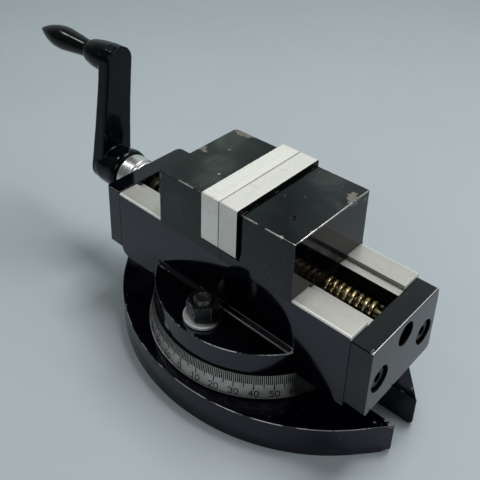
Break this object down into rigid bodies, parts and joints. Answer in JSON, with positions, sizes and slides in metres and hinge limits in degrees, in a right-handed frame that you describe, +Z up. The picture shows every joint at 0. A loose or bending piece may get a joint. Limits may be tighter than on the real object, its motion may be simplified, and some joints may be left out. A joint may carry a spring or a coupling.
{
  "type": "self-centering milling vise",
  "caption": "Self-centring machine vise on a graduated swivel base, with a crank, a left and right hand screw and two jaws that close together.",
  "frame": {"origin": "centre of the swivel base on its underside", "axes": "+Z up, X along the screw with the crank at -X, +Y to the rear"},
  "size_m": [0.3603, 0.158, 0.1766],
  "materials": {
    "black_enamel": "glossy black over machined iron, worn bright at the edges",
    "ground_steel": "ground, satin",
    "ring_silver": "satin with dark engraved marks",
    "black_oxide": "oiled black oxide",
    "zinc": "zinc plated",
    "turned_steel": "turned, greased",
    "bronze": "turned bronze",
    "black_plastic": "glossy black phenolic"
  },
  "bodies": {
    "base": {"swivel_base": "black_enamel", "graduated_ring": "ring_silver"},
    "bed": {"vise_bed": "black_enamel", "drive_plate": "black_enamel", "tail_plate": "black_enamel", "drive_bush": "bronze", "tail_bush": "bronze", "tail_plate_screw_1": "black_oxide", "tail_plate_screw_2": "black_oxide", "drive_plate_screw_1": "black_oxide", "drive_plate_screw_2": "black_oxide", "centre_yoke": "turned_steel", "yoke_screw_1": "black_oxide", "yoke_screw_2": "black_oxide", "t_bolt_front": "black_oxide", "t_bolt_rear": "black_oxide", "washer_front": "zinc", "washer_rear": "zinc"},
    "clamp_nut_front": {"clamp_nut_front_hex": "black_oxide"},
    "clamp_nut_rear": {"clamp_nut_rear_hex": "black_oxide"},
    "spindle": {"lead_screw": "turned_steel", "thrust_collar": "ground_steel", "crank_arm": "black_enamel", "crank_set_screw": "black_oxide", "grip_spindle": "turned_steel"},
    "handle": {"grip_handle": "black_plastic"},
    "jaw_left": {"jaw_left_block": "black_enamel", "jaw_left_plate": "ground_steel", "jaw_left_plate_screw_1": "black_oxide", "jaw_left_plate_screw_2": "black_oxide", "jaw_left_nut": "bronze", "jaw_left_keeper": "turned_steel", "jaw_left_keeper_screw_1": "black_oxide", "jaw_left_keeper_screw_2": "black_oxide"},
    "jaw_right": {"jaw_right_block": "black_enamel", "jaw_right_plate": "ground_steel", "jaw_right_plate_screw_1": "black_oxide", "jaw_right_plate_screw_2": "black_oxide", "jaw_right_nut": "bronze", "jaw_right_keeper": "turned_steel", "jaw_right_keeper_screw_1": "black_oxide", "jaw_right_keeper_screw_2": "black_oxide"}
  },
  "joints": [
    {"name": "swivel", "type": "hinge", "parent": "base", "child": "bed", "pos_m": [0, 0, 0.04], "axis": [0, 0, 1], "continuous": true},
    {"name": "front_nut_turn", "type": "hinge", "parent": "bed", "child": "clamp_nut_front", "pos_m": [0, -0.053, 0.063], "axis": [0, 0, 1], "range_deg": [0, 180]},
    {"name": "rear_nut_turn", "type": "hinge", "parent": "bed", "child": "clamp_nut_rear", "pos_m": [0, 0.053, 0.063], "axis": [0, 0, 1], "range_deg": [0, 180]},
    {"name": "screw_turn", "type": "hinge", "parent": "bed", "child": "spindle", "pos_m": [0, 0, 0.0795], "axis": [-1, 0, 0], "range_deg": [0, 3185]},
    {"name": "grip_spin", "type": "hinge", "parent": "spindle", "child": "handle", "pos_m": [-0.2, 0.00894, 0.16453], "axis": [1, 0, 0], "continuous": true},
    {"name": "left_jaw_slide", "type": "slide", "parent": "bed", "child": "jaw_left", "axis": [-1, 0, 0], "range_m": [0, 0.039]},
    {"name": "right_jaw_slide", "type": "slide", "parent": "bed", "child": "jaw_right", "axis": [1, 0, 0], "range_m": [0, 0.039]}
  ],
  "couplings": [
    {"joint": "left_jaw_slide", "follows": "screw_turn", "m_per_rad": 0.00070028},
    {"joint": "right_jaw_slide", "follows": "screw_turn", "m_per_rad": 0.00070028}
  ]
}
